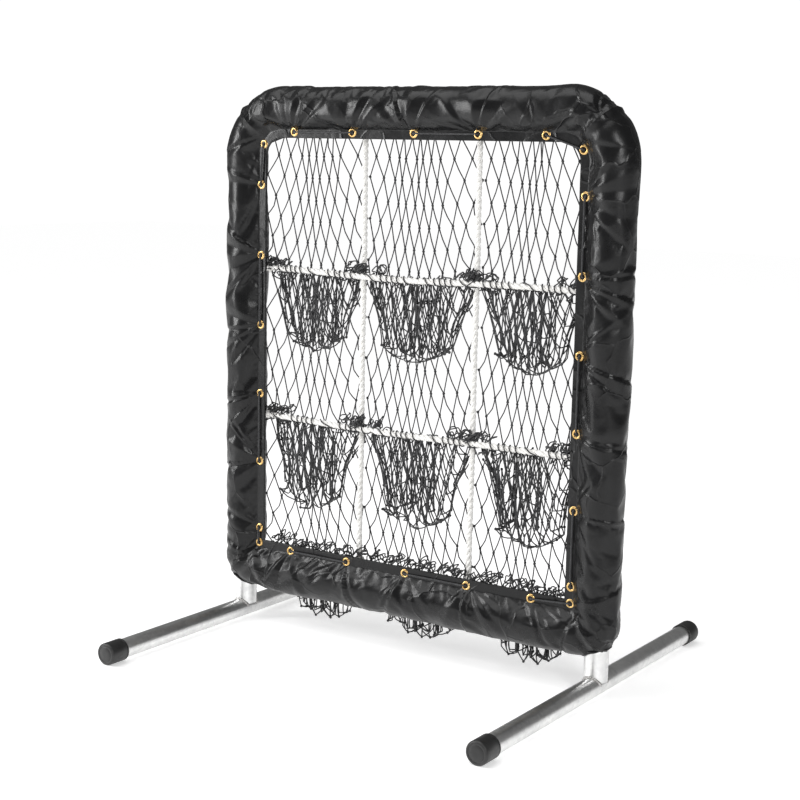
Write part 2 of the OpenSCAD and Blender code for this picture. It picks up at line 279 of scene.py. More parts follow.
def weld_material():
    m, nodes, links, shader = new_material("weld_bead")
    shader.inputs["Metallic"].default_value = 1.0
    stops = [(0.3, (0.34, 0.33, 0.32)), (0.7, (0.62, 0.61, 0.60))]
    shade = ramp(nodes, links, noise(nodes, links, 120, 5, 0.6), stops)
    links.new(shade, shader.inputs["Base Color"])
    rough = ramp(nodes, links, noise(nodes, links, 200, 4, 0.6), [(0.3, 0.35), (0.7, 0.6)])
    links.new(rough, shader.inputs["Roughness"])
    links.new(bump(nodes, links, noise(nodes, links, 500, 4, 0.6), 0.25, 0.0008), shader.inputs["Normal"])
    return m


def brass_material():
    m, nodes, links, shader = new_material("brass")
    shader.inputs["Metallic"].default_value = 1.0
    stops = [(0.3, (0.62, 0.38, 0.13)), (0.7, (0.86, 0.60, 0.26))]
    shade = ramp(nodes, links, noise(nodes, links, 70, 4, 0.6), stops)
    links.new(shade, shader.inputs["Base Color"])
    rough = ramp(nodes, links, noise(nodes, links, 150, 4, 0.6), [(0.3, 0.20), (0.7, 0.36)])
    links.new(rough, shader.inputs["Roughness"])
    links.new(bump(nodes, links, noise(nodes, links, 700, 3, 0.5), 0.08, 0.0004), shader.inputs["Normal"])
    return m


def rubber_material():
    m, nodes, links, shader = new_material("cap_rubber")
    stops = [(0.3, (0.012, 0.012, 0.012)), (0.75, (0.026, 0.026, 0.026))]
    shade = ramp(nodes, links, noise(nodes, links, 35, 5, 0.6), stops)
    links.new(shade, shader.inputs["Base Color"])
    rough = ramp(nodes, links, noise(nodes, links, 60, 5, 0.6), [(0.3, 0.38), (0.7, 0.55)])
    links.new(rough, shader.inputs["Roughness"])
    links.new(bump(nodes, links, noise(nodes, links, 420, 4, 0.6), 0.12, 0.0006), shader.inputs["Normal"])
    return m


def twine_material(name, dark, light, fuzz):
    """Twisted cord: colour and height vary along the lay, with a little sheen from loose fibres."""
    m, nodes, links, shader = new_material(name)
    shade = ramp(nodes, links, noise(nodes, links, 260, 5, 0.65), [(0.3, dark), (0.7, light)])
    links.new(shade, shader.inputs["Base Color"])
    rough = ramp(nodes, links, noise(nodes, links, 400, 3, 0.6), [(0.3, 0.62), (0.7, 0.85)])
    links.new(rough, shader.inputs["Roughness"])
    shader.inputs["Sheen Weight"].default_value = fuzz
    fibres = bump(nodes, links, noise(nodes, links, 1400, 4, 0.7), 0.4, 0.0005)
    links.new(fibres, shader.inputs["Normal"])
    return m


def foam_material():
    m, nodes, links, shader = new_material("grey_foam")
    cells = node(nodes, "ShaderNodeTexVoronoi", Scale=700.0)
    links.new(nodes.new("ShaderNodeTexCoord").outputs["Object"], cells.inputs["Vector"])
    # Painted shade: the foam is darker towards each cell's centre, where the same cells sink the bump into
    # pits, so shade is painted into the pores
    stops = [(0.1, (0.10, 0.10, 0.11)), (0.8, (0.20, 0.20, 0.21))]
    shade = ramp(nodes, links, cells.outputs["Distance"], stops)
    links.new(shade, shader.inputs["Base Color"])
    shader.inputs["Roughness"].default_value = 0.9
    links.new(bump(nodes, links, cells.outputs["Distance"], 0.5, 0.0006), shader.inputs["Normal"])
    return m


# ---------------------------------------------------------------- mesh helpers


def mesh_object(name, points, faces, material, body="frame", smooth=True):
    mesh = bpy.data.meshes.new(name)
    mesh.from_pydata(np.asarray(points, float).tolist(), [], [tuple(f) for f in faces])
    mesh.validate()
    work = bmesh.new()
    work.from_mesh(mesh)
    bmesh.ops.recalc_face_normals(work, faces=work.faces)
    work.to_mesh(mesh)
    work.free()
    mesh.polygons.foreach_set("use_smooth", [smooth] * len(mesh.polygons))
    mesh.materials.append(material)
    obj = bpy.data.objects.new(name, mesh)
    bpy.context.collection.objects.link(obj)
    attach(obj, body)
    return obj


def grid_faces(rows, columns, close_rows=False, close_columns=False, start=0):
    """Quads of a grid of points kept row by row."""
    down = np.arange(rows if close_rows else rows - 1)
    along = np.arange(columns if close_columns else columns - 1)
    r, c = (g.ravel() for g in np.meshgrid(down, along, indexing="ij"))
    r2, c2 = (r + 1) % rows, (c + 1) % columns
    quads = np.stack([r * columns + c, r * columns + c2, r2 * columns + c2, r2 * columns + c], 1)
    return (quads + start).tolist()


def unit(v):
    return v / np.maximum(np.linalg.norm(v, axis=-1, keepdims=True), 1e-12)


def tubes(paths, radius, sides=6, start=0, closed=False):
    """Round tubes along paths of shape (tubes, points, 3), capped at the ends.
    The radius is one number or one for each point."""
    paths = np.asarray(paths, float)
    count, steps = paths.shape[:2]
    if closed:
        tangent = unit(np.roll(paths, -1, 1) - np.roll(paths, 1, 1))
    else:
        tangent = unit(np.gradient(paths, axis=1))
    lean = np.broadcast_to(unit(np.array([0.13, 0.93, 0.33])), tangent.shape)
    across = unit(np.cross(tangent, lean))
    for i in range(1, steps):
        turned = across[:, i - 1] - tangent[:, i] * (across[:, i - 1] * tangent[:, i]).sum(-1, keepdims=True)
        across[:, i] = unit(turned)
    over = np.cross(tangent, across)
    angle = np.arange(sides) * 2 * pi / sides
    size = np.broadcast_to(np.asarray(radius, float), (count, steps))[:, :, None, None]
    ring = across[:, :, None] * np.cos(angle)[:, None] + over[:, :, None] * np.sin(angle)[:, None]
    points = (paths[:, :, None] + ring * size).reshape(-1, 3)
    faces = []
    for k in range(count):
        first = start + k * steps * sides
        faces += grid_faces(steps, sides, closed, True, first)
        if not closed:
            last = first + (steps - 1) * sides
            faces += [list(range(first, first + sides)), list(range(last + sides - 1, last - 1, -1))]
    return points, faces


def joined(parts):
    """One list of points and one of faces from several (points, faces)."""
    points, faces, start = [], [], 0
    for p, f in parts:
        points.append(np.asarray(p, float))
        faces += [[i + start for i in face] for face in f]
        start += len(p)
    return np.concatenate(points), faces


def smooth_line(points, steps, closed=False):
    """A Catmull-Rom line through the points."""
    p = np.asarray(points, float)
    if closed:
        p = np.concatenate([p[-1:], p, p[:2]])
    else:
        p = np.concatenate([2 * p[:1] - p[1:2], p, 2 * p[-1:] - p[-2:-1]])
    t = np.linspace(0, 1, steps, endpoint=False)[:, None]
    out = []
    for a, b, c, d in zip(p[:-3], p[1:-2], p[2:-1], p[3:]):
        square = (2 * a - 5 * b + 4 * c - d) * t**2
        cube = (3 * b - a - 3 * c + d) * t**3
        out.append(0.5 * (2 * b + (c - a) * t + square + cube))
    if not closed:
        out.append(p[-2:-1])
    return np.concatenate(out)


def even_line(points, gap):
    """The same line with its points an even gap apart."""
    walked = np.concatenate([[0], np.cumsum(np.linalg.norm(np.diff(points, axis=0), axis=1))])
    count = max(int(round(walked[-1] / gap)), 2)
    at = np.linspace(0, walked[-1], count + 1)
    return np.stack([np.interp(at, walked, points[:, i]) for i in range(3)], 1)


def lathe(profile, centre, axis, segments=48):
    """A ring or cap turned round a line through centre, from a list of (radius, distance along the axis)."""
    axis = unit(np.asarray(axis, float))
    side = unit(np.cross(axis, [0.31, 0.2, 0.93]))
    other = np.cross(axis, side)
    angle = np.arange(segments) * 2 * pi / segments
    points = []
    for radius, along in profile:
        ring = side * np.cos(angle)[:, None] + other * np.sin(angle)[:, None]
        points.append(np.asarray(centre) + axis * along + ring * radius)
    return np.concatenate(points), grid_faces(len(profile), segments, False, True)


# ---------------------------------------------------------------- the padded cover


def section():
    """The cover's cross-section as (outward, y), from the hem's front edge over the pad to its rear edge."""

    def bend(p, p_way, q, q_way, steps):
        t = np.linspace(0, 1, steps + 1)[1:-1, None]
        p, q, p_way, q_way = (np.array(v, float) for v in (p, q, p_way, q_way))
        h = 2 * t**3 - 3 * t**2 + 1
        return h * p + (t**3 - 2 * t**2 + t) * p_way + (1 - h) * q + (t**3 - t**2) * q_way

    def on_circle(degrees):
        a = np.radians(degrees)
        return np.stack([-PAD_R * np.cos(a), -PAD_R * np.sin(a)], -1)

    def way(degrees, length):
        a = radians(degrees)
        return np.array([sin(a), -cos(a)]) * length

    front = np.stack([np.linspace(-HEM_REACH, -0.0410, 16), np.full(16, HEM_FRONT)], 1)
    front_bend = bend(front[-1], (0.009, 0), on_circle(46), way(46, 0.020), 10)
    round_pad = on_circle(np.linspace(46, 338, 94))
    rear = np.stack([np.linspace(-0.043, -HEM_REACH, 8), np.full(8, HEM_BACK)], 1)
    rear_bend = bend(round_pad[-1], way(338, 0.022), rear[0], (-0.010, 0), 8)
    return np.concatenate([front, front_bend, round_pad, rear_bend, rear])


def run(d, u, a0, r0, a1, r1):
    """Where a line at offset d is at part u of its length, its tilt and its distance from each seam."""
    q0, q1 = np.maximum(r0 + d, 0), np.maximum(r1 + d, 0)
    s0, s1 = a0 + np.maximum(-r0 - d, 0), a1 - np.maximum(-r1 - d, 0)
    c0, c1 = q0 * pi / 4, q1 * pi / 4
    whole = c0 + (s1 - s0) + c1
    at = u * whole
    t0 = np.clip((c0 - at) / np.maximum(q0, 1e-9), 0, pi / 4)
    t1 = np.clip((at - c0 - (s1 - s0)) / np.maximum(q1, 1e-9), 0, pi / 4)
    straight = np.clip(s0 + at - c0, s0, s1)
    along = straight - q0 * np.sin(t0) + q1 * np.sin(t1)
    outward = d + q0 * (np.cos(t0) - 1) + q1 * (np.cos(t1) - 1)
    return along, outward, t1 - t0, at, whole - at


SIDES = {
    "bottom": (-CORNER_X, CORNER_R, CORNER_X, CORNER_R),
    "top": (-BEND_X, BEND_R, BEND_X, BEND_R),
    "left": (CORNER_Z, CORNER_R, BEND_Z, BEND_R),
    "right": (CORNER_Z, CORNER_R, BEND_Z, BEND_R),
}


def place(side, along, outward):
    """A point of a side as x and z."""
    if side == "bottom":
        return along, BAR_Z - outward
    if side == "top":
        return along, TOP_Z + outward
    return (-POST_X - outward, along) if side == "left" else (POST_X + outward, along)


def side_grommets(side):
    """Places along a side of the grommets on it."""
    levels = {"bottom": BAR_Z + GROMMET_REACH, "top": TOP_Z - GROMMET_REACH}
    out = []
    for x, z, _ in GROMMETS:
        if side in levels and abs(z - levels[side]) < 0.002:
            out.append(x)
        at_post = abs(abs(x) - POST_X + GROMMET_REACH) < 0.002
        if side not in levels and (x < 0) == (side == "left") and at_post:
            out.append(z)
    ends = {"bottom": (-0.36, 0.36), "top": (-0.38, 0.38), "left": (0.12, 0.93), "right": (0.12, 0.93)}[side]
    return sorted(out + list(ends))


def wave(points, size, seed):
    """Smooth noise from -1 to 1 over points, with features of about that size in metres."""
    rng = np.random.default_rng(seed)
    ways = unit(rng.normal(size=(14, 3))) * rng.uniform(0.6, 1.5, (14, 1)) * 2 * pi / (2.2 * size)
    phase = rng.uniform(0, 2 * pi, 14)
    return np.cos(points @ ways.T + phase).sum(-1) / 5.0


def facets(a, b, size, seed):
    """Flat triangular facets with creases between them, as a height from -1 to 1."""
    rng = np.random.default_rng(seed)
    heights = rng.uniform(-1, 1, (97, 89))
    i, j = np.floor(a / size).astype(int), np.floor(b / size).astype(int)
    fa, fb = a / size - i, b / size - j
    flip = (i * 7 + j * 3) % 2 == 0
    fa = np.where(flip, 1 - fa, fa)

    def near(di, dj):
        return heights[(i + np.where(flip, 1 - di, di)) % 97, (j + dj) % 89]

    low = near(0, 0) + (near(1, 0) - near(0, 0)) * fa + (near(0, 1) - near(0, 0)) * fb
    high = near(1, 1) + (near(0, 1) - near(1, 1)) * (1 - fa) + (near(1, 0) - near(1, 1)) * (1 - fb)
    return np.where(fa + fb < 1, low, high)


def fan(along, across, grommets, seed):
    """Creases that fan out from each grommet over the pad, as a height."""
    rng = np.random.default_rng(seed)
    total, weight = np.zeros_like(along), np.full_like(along, 1e-6)
    for g in grommets:
        turns = np.sort(rng.uniform(-1.45, 1.45, 11))
        heights = rng.uniform(-1, 1, 11)
        heights[::2] = np.abs(heights[::2])
        heights[1::2] = -np.abs(heights[1::2])
        angle = np.arctan2(along - g, across + 0.006)
        near = np.exp(-(((along - g) / 0.062) ** 2))
        total += near * np.interp(angle, turns, heights)
        weight += near
    return total / np.maximum(weight, 0.25)


def cover_shape(side, steps, profile, seed):
    """The grid of points of one side of the cover, with the creases that the lacing's pull makes."""
    u = np.linspace(0, 1, steps)[:, None]
    d, y = profile[:, 0][None], profile[:, 1][None]
    tangent = np.gradient(profile, axis=0)
    normal = unit(np.stack([-tangent[:, 1], tangent[:, 0]], 1))
    along, outward, tilt, from_start, to_end = run(d + 0 * u, u + 0 * d, *SIDES[side])
    walked = np.concatenate([[0], np.cumsum(np.linalg.norm(np.diff(profile, axis=0), axis=1))])
    across = walked[None] - (HEM_REACH - GROMMET_REACH) + 0 * along
    x, z = place(side, along, outward)
    points = np.stack([x, y + 0 * x, z], -1)
    on_pad = np.clip((across - 0.003) / 0.020, 0, 1) * np.clip((walked[-1] - 0.030 - across) / 0.03, 0, 1)
    fade = np.exp(-np.clip(across - 0.055, 0, 1) / 0.055)
    seam = np.minimum(from_start, to_end)
    bend_a = along + 0.016 * wave(points, 0.05, seed + 1)
    bend_b = across + 0.016 * wave(points, 0.05, seed + 2)
    height = 0.0030 * fan(along, across, side_grommets(side), seed) * fade
    height += 0.0013 * facets(bend_a, bend_b, 0.047, seed + 3)
    height += 0.0007 * facets(bend_b * 1.3 + 0.3, bend_a, 0.026, seed + 4)
    height += 0.0011 * wave(points, 0.16, seed + 5)
    height += 0.0022 * np.exp(-(((seam - 0.012) / 0.009) ** 2)) - 0.0040 * np.exp(-((seam / 0.0035) ** 2))
    height *= on_pad * np.clip(seam / 0.02 + 0.35, 0, 1)
    ox, oz = place(side, np.sin(tilt) * normal[:, 0][None], np.cos(tilt) * normal[:, 0][None])
    zx, zz = place(side, np.zeros(1), np.zeros(1))
    points += np.stack([ox - zx, normal[:, 1][None] + 0 * x, oz - zz], -1) * height[..., None]
    hem = 1 - np.clip((across - 0.004) / 0.02, 0, 1)
    points[..., 1] += 0.0007 * wave(points, 0.045, seed + 6) * hem
    return points


def settle(obj, foam, shape, held_front, held_back):
    """Lets slack vinyl wrinkle over the foam as simulated cloth, and returns how far each point moved."""
    rows, columns = shape
    start = np.zeros(rows * columns * 3)
    obj.data.vertices.foreach_get("co", start)
    held = np.zeros(shape, bool)
    held[:, :held_front] = held[:, columns - held_back :] = True
    held[0] = held[-1] = True
    group = obj.vertex_groups.new(name="held")
    group.add(np.nonzero(held.ravel())[0].tolist(), 1.0, "REPLACE")
    foam.modifiers.new("under", "COLLISION")
    foam.collision.thickness_outer = 0.001
    cloth = obj.modifiers.new("cloth", "CLOTH")
    vinyl = cloth.settings
    vinyl.quality, vinyl.mass, vinyl.air_damping = 5, 0.5, 3
    vinyl.tension_stiffness, vinyl.compression_stiffness, vinyl.shear_stiffness = 60, 60, 20
    vinyl.bending_stiffness = 30
    vinyl.vertex_group_mass = "held"
    vinyl.shrink_min = -0.009
    vinyl.use_pressure, vinyl.uniform_pressure_force = True, 1.0
    vinyl.effector_weights.gravity = 0.2
    cloth.collision_settings.distance_min = 0.0015
    for step in range(1, 17):
        bpy.context.scene.frame_set(step)
    moved = np.zeros(rows * columns * 3)
    seen = obj.evaluated_get(bpy.context.evaluated_depsgraph_get())
    seen.data.vertices.foreach_get("co", moved)
    obj.modifiers.clear()
    foam.modifiers.clear()
    bpy.context.scene.frame_set(1)
    return (moved - start).reshape(rows, columns, 3)


def between(field, rows, columns):
    """The same field on a grid with twice the columns and more rows."""
    r = np.linspace(0, field.shape[0] - 1, rows)
    c = np.minimum(np.arange(columns) / 2, field.shape[1] - 1)
    r0, c0 = np.minimum(r.astype(int), field.shape[0] - 2), np.minimum(c.astype(int), field.shape[1] - 2)
    fr, fc = (r - r0)[:, None, None], (c - c0)[None, :, None]
    low = field[r0][:, c0] * (1 - fc) + field[r0][:, c0 + 1] * fc
    high = field[r0 + 1][:, c0] * (1 - fc) + field[r0 + 1][:, c0 + 1] * fc
    return low * (1 - fr) + high * fr


def cover(side, material, foam, seed):
    """One side of the vinyl cover with its hem."""
    profile = section()
    steps = 300 if side in ("left", "right") else 260
    points = cover_shape(side, steps, profile, seed)
    coarse = cover_shape(side, steps // 2, profile[::2], seed)
    faces = grid_faces(*coarse.shape[:2], False, True)
    trial = mesh_object("trial", coarse.reshape(-1, 3), faces, material)
    moved = settle(trial, foam, coarse.shape[:2], 9, 7)
    bpy.data.objects.remove(trial)
    points += np.clip(between(moved, *points.shape[:2]), -0.004, 0.004)
    points = open_for_post(points)
    flat = points.reshape(-1, 3)
    inside = in_socket_hole(flat)
    faces = [f for f in grid_faces(*points.shape[:2], False, True) if not all(inside[f])]
    obj = mesh_object(f"cover_{side}_vinyl", flat, faces, material)
    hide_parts(f"cover_{side}")


def foam_sleeve(side, material):
    """The foam under the cover: a thick sleeve with mitred ends."""
    turn = np.linspace(0, 2 * pi, 40, endpoint=False)
    u = np.linspace(0, 1, 90)[:, None]
    skins = []
    for radius in (PAD_R - 0.0055, 0.0180):
        d, y = radius * np.cos(turn)[None], radius * np.sin(turn)[None]
        along, outward, _, _, _ = run(d + 0 * u, u + 0 * d, *SIDES[side])
        x, z = place(side, along, outward)
        skins.append((np.stack([x, y + 0 * x, z], -1).reshape(-1, 3), grid_faces(90, 40, False, True)))
    points, faces = joined(skins)
    for ring in (0, 89 * 40):
        for i in range(40):
            a, b = ring + i, ring + (i + 1) % 40
            faces.append([a, b, b + 3600, a + 3600])
    obj = mesh_object(f"foam_{side}_sleeve", points, faces, material)
    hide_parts(f"foam_{side}")
    return obj


HOLE_R = 0.0222


def open_for_post(points):
    """Draws the cover back from where each socket comes in from below."""
    points = points.copy()
    for x in (-POST_X, POST_X):
        away = points[..., :2] - np.array([x, 0])
        reach = np.linalg.norm(away, axis=-1)
        under = (reach < HOLE_R) & (points[..., 2] < BAR_Z)
        grown = np.array([x, 0]) + away * (HOLE_R / np.maximum(reach, 1e-6))[..., None]
        points[..., :2] = np.where(under[..., None], grown, points[..., :2])
    return points


def in_socket_hole(flat):
    """True for points on the edge of the hole or in it."""
    hole = np.zeros(len(flat), bool)
    for x in (-POST_X, POST_X):
        reach = np.linalg.norm(flat[:, :2] - np.array([x, 0]), axis=1)
        hole |= (reach < HOLE_R * 1.001) & (flat[:, 2] < BAR_Z)
    return hole


# ---------------------------------------------------------------- grommets and lacing


def flange_radius(name):
    """The outer radius of the node's rings, from how far its box reaches past the grommets' centres."""
    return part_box(name)[1][0] - (POST_X - GROMMET_REACH)


def trimmed(profile, bore, radius):
    """The profile with its bore kept and its rim brought in to the given radius."""
    widest = max(r for r, _ in profile)
    trim = (radius - bore) / (widest - bore)
    return [(bore + (r - bore) * trim, along) for r, along in profile]


def add_grommets(brass):
    rng = np.random.default_rng(4)
    rings, washers = [], []
    front = [(0.0042, 0.0052), (0.0042, 0.0006), (0.0046, -0.0006), (0.0054, -0.0013), (0.0066, -0.0014)]
    front += [(0.0080, -0.0010), (0.0090, -0.0002), (0.0095, 0.0006), (0.0094, 0.0012), (0.0086, 0.0014)]
    front += [(0.0050, 0.0014), (0.0048, 0.0052)]
    rear = [(0.0050, 0.0), (0.0051, 0.0009), (0.0065, 0.0012), (0.0085, 0.0010)]
    rear += [(0.0094, 0.0004), (0.0094, 0.0)]
    front = trimmed(front, 0.0042, flange_radius("grommets"))
    rear = trimmed(rear, 0.0050, flange_radius("grommet_washers"))
    for x, z, _ in GROMMETS:
        lean = np.array([rng.uniform(-0.07, 0.07), 1, rng.uniform(-0.07, 0.07)])
        rings.append(lathe(front + front[:1], (x, HEM_FRONT - 0.0002, z), lean))
        washers.append(lathe(rear + rear[:1], (x, HEM_BACK, z), (0, 1, 0), 32))
    obj = mesh_object("grommet_rings", *joined(rings), brass)
    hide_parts("grommets")
    back = mesh_object("grommet_back_rings", *joined(washers), brass)
    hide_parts("grommet_washers")


def add_lacing(material):
    """The cord that closes the cover, in and out of every grommet in one loop."""
    front, back = HEM_FRONT - 0.0030, HEM_BACK + 0.0035
    points = []
    count = len(GROMMETS)
    for i, (x, z, _) in enumerate(GROMMETS):
        to_front = i % 2 == 0
        nx, nz, _ = GROMMETS[(i + 1) % count]
        px, pz, _ = GROMMETS[i - 1]
        before = (x + (px - x) * 0.10, z + (pz - z) * 0.10)
        after = (x + (nx - x) * 0.10, z + (nz - z) * 0.10)
        y_before, y_after = (back, front) if to_front else (front, back)
        points.append((before[0], y_before, before[1]))
        points.append((x, y_before * 0.8 + y_after * 0.2, z))
        points.append((x, y_after * 0.8 + y_before * 0.2, z))
        points.append((after[0], y_after, after[1]))
    smooth = smooth_line(points, 6, True)
    line = even_line(np.concatenate([smooth, smooth[:1]]), 0.0022)[:-1]
    obj = mesh_object("lacing_braid", *tubes(line[None], 0.0015, 10, closed=True), material)
    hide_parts("lacing_cord")


# ---------------------------------------------------------------- ropes


def strands(path, lay=0.034, seed=1):
    """Three twisted strands round a path with even points."""
    rng = np.random.default_rng(seed)
    tangent = unit(np.gradient(path, axis=0))
    across = unit(np.cross(tangent, [0.1, 0.95, 0.2]))
    over = np.cross(tangent, across)
    walked = np.concatenate([[0], np.cumsum(np.linalg.norm(np.diff(path, axis=0), axis=1))])
    parts = []
    for k in range(3):
        turn = walked / lay * 2 * pi + k * 2 * pi / 3
        turn += 0.25 * np.sin(walked * 60 + rng.uniform(0, 6))
        centre = path + ROPE_R * 0.52 * (across * np.cos(turn)[:, None] + over * np.sin(turn)[:, None])
        swell = ROPE_R * 0.50 * (1 + 0.05 * np.sin(walked * 190 + rng.uniform(0, 6)))
        parts.append(tubes(centre[None], swell[None], 10))
    return parts


def end_knot(centre, along, seed):
    """An overhand knot at a rope's end."""
    t = np.linspace(0, 2 * pi, 60, endpoint=False)
    loop = np.stack([np.sin(t) + 2 * np.sin(2 * t), np.cos(t) - 2 * np.cos(2 * t), -np.sin(3 * t)], 1)
    loop *= 0.0021
    if along == 2:
        loop = loop[:, [0, 1, 2]]
    else:
        loop = loop[:, [2, 1, 0]]
    return tubes((loop + np.array(centre))[None], 0.0034, 10, closed=True)


def add_rope(name, start, end, material, seed):
    start, end = np.array(start), np.array(end)
    along = 2 if abs(end[2] - start[2]) > 0.1 else 0
    steps = int(np.linalg.norm(end - start) / 0.002)
    t = np.linspace(0, 1, steps)[:, None]
    path = start + (end - start) * t
    if along == 0:
        path[:, 2] -= 0.0035 * np.sin(pi * t[:, 0]) ** 2
        path[:, 2] += 0.0010 * np.sin(3 * pi * t[:, 0] + seed)
    path[:, 1] += 0.0008 * np.sin(5 * pi * t[:, 0] + seed)
    parts = strands(path, 0.034, seed)
    parts.append(end_knot(start, along, seed))
    parts.append(end_knot(end, along, seed))
    obj = mesh_object(f"{name}_strands", *joined(parts), material)
    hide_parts(name)
    return path


def add_wraps(name, path, first, last, material, seed):
    """Black twine that ties the nets to a level rope in a long spiral."""
    rng = np.random.default_rng(seed)
    t = np.linspace(first, last, 900)
    centre = np.stack([np.interp(t, path[:, 0], path[:, i]) for i in range(3)], 1)
    swing = 0.8 * np.sin(np.linspace(0, 37, 900) + rng.uniform(0, 6))
    turns = np.cumsum(1 + swing + rng.uniform(-0.2, 0.2, 900))
    turn = turns / turns[-1] * (last - first) / 0.019 * 2 * pi
    reach = ROPE_R + TWINE_R * 0.9
    centre[:, 1] += reach * np.cos(turn)
    centre[:, 2] += reach * np.sin(turn)
    obj = mesh_object(name, *tubes(centre[None], TWINE_R, 7), material)
    return obj


def tangle(rng, centre, spread, loops):
    """Loose loops and turns of twine round a place."""
    lumps = []
    for _ in range(loops):
        t = np.linspace(0, 2 * pi, 9, endpoint=False)
        size = rng.uniform(0.0045, 0.0105, 3) * np.array([1.1, 0.7, 0.9])
        ring = np.stack([np.cos(t), np.sin(t), np.sin(t + rng.uniform(0, pi))], 1) * size
        ring += rng.normal(0, 0.0014, ring.shape)
        ring += np.asarray(centre) + rng.uniform(-1, 1, 3) * np.asarray(spread)
        lumps.append(tubes(smooth_line(ring, 3, True)[None], TWINE_R, 6, closed=True))
    return lumps


def add_ties(material):
    """Twine in clumps at the rope crossings and the rope ends, and bunched along the bottom hem."""
    rng = np.random.default_rng(11)
    lumps = []
    for z in (UPPER_Z, LOWER_Z):
        for x in (-POST_X + 0.062, -UPRIGHT_X, UPRIGHT_X, POST_X - 0.062):
            lumps += tangle(rng, (x, LEVEL_ROPE_Y + 0.003, z + 0.006), (0.010, 0.004, 0.008), 12)
            lumps += tangle(rng, (x, LEVEL_ROPE_Y + 0.006, z + 0.010), (0.045, 0.004, 0.006), 12)
        for x in np.arange(-0.31, 0.311, 0.02):
            lumps += tangle(rng, (x, LEVEL_ROPE_Y + 0.006, z - 0.008), (0.012, 0.003, 0.006), 1)
    ties = mesh_object("crossing_ties", *joined(lumps), material)
    edge = []
    for x in np.arange(-0.312, 0.313, 0.006):
        edge += tangle(rng, (x, 0.001, BAR_Z + 0.0605), (0.005, 0.007, 0.007), 1)
    bunch = mesh_object("bottom_edge_ties", *joined(edge), material)


# ---------------------------------------------------------------- nets

ROWS = {
    "top": (TOP_Z - 0.048, UPPER_Z, 15),
    "middle": (UPPER_Z - 0.004, LOWER_Z, 17),
    "bottom": (LOWER_Z - 0.004, BAR_Z + 0.051, 14),
}
COLUMNS = {"left": 9, "middle": 10, "right": 9}
DROP = BAR_LENGTH * 0.925  # how far a diamond's bar reaches down as the net hangs
FOLD_BARS, FOLD_ACROSS = 7, 6
NET_Y = 0.0175
LIP_Y = 0.0065


def lattice(row, column, fold, rng):
    """A piece of diamond mesh before it hangs: its knots, which of them are tied, and its bars in groups.

    A panel's main piece reaches from above, down round the bag, to the lip.
    Its fold is gathered slack on the lip.
    """
    top, lip, bars_down = ROWS[row]
    across = COLUMNS[column]
    x0, x1 = span(f"net_{row}_{column}", 0)
    if fold:
        top, bars_down, across = lip - 0.002, FOLD_BARS, FOLD_ACROSS
        middle_x, reach = (x0 + x1) / 2 + rng.uniform(-0.008, 0.008), (x1 - x0) * rng.uniform(0.27, 0.36)
        x0, x1 = middle_x - reach, middle_x + reach
    length = bars_down * DROP
    down = (length + top - lip) / 2
    low = top - down
    lean, phase = rng.uniform(0.050, 0.095), rng.uniform(0, 2 * pi)
    index, knots, tied = {}, [], []
    for r in range(bars_down + 1):
        walked = r / bars_down * length
        back = walked < down
        z = top - walked if back else low + walked - down
        bulge = min(1, walked / down) if back else (length - walked) / (length - down)
        y = NET_Y + 0.020 * bulge
        places = np.arange(across + 1) if r % 2 == 0 else np.arange(across) + 0.5
        for i in places:
            part = i / across
            x = x0 + (x1 - x0) * (part + lean * sin(2 * pi * part) + 0.25 * lean * sin(4 * pi * part + 1))
            edge = i == 0 or i == across
            side = -1 if i == 0 else 1
            hold = r == 0 or r == bars_down
            px, py, pz = x, y, z
            if r == 0:
                py, pz = 0.009 if fold else 0.006, top + rng.uniform(-0.002, 0.002)
                px += rng.uniform(-0.004, 0.004)
            elif r == bars_down and fold:
                px = middle_x + (x - middle_x) * 0.75 + rng.uniform(-0.008, 0.008)
                sag = 0.045 * (0.5 + 0.5 * sin(9 * part + phase))
                py, pz = 0.014, lip - 0.004 - sag * rng.uniform(0.6, 1)
            elif r == bars_down:
                px = x0 + (x1 - x0) * (0.5 + (part - 0.5) * 0.86) + rng.uniform(-0.006, 0.006)
                py, pz = LIP_Y, lip - 0.003 + rng.uniform(-0.002, 0.002)
            elif fold:
                pass
            elif edge and z > lip and back:
                at_hem = abs(x) > 2 * UPRIGHT_X
                hold, py = True, -0.003 if at_hem else NET_Y
                px += side * 0.006 * at_hem + rng.uniform(-0.002, 0.002)
            elif edge:
                hold = True
                left = (bars_down - r) / bars_down
                px = x0 + (x1 - x0) * part - side * rng.uniform(0.004, 0.022)
                py, pz = NET_Y + 0.03 * left, lip - 0.004 - rng.uniform(0.0, 0.050) * (0.4 + left)
            index[(r, i)] = len(knots)
            knots.append((px, py, pz))
            tied.append(hold)
    groups = [[], [], [], []]
    for (r, i), a in index.items():
        for way in (0, 1):
            b = index.get((r + 1, i - 0.5 + way))
            if b is not None:
                groups[(r % 2) * 2 + way].append((a, b))
    return knots, tied, groups


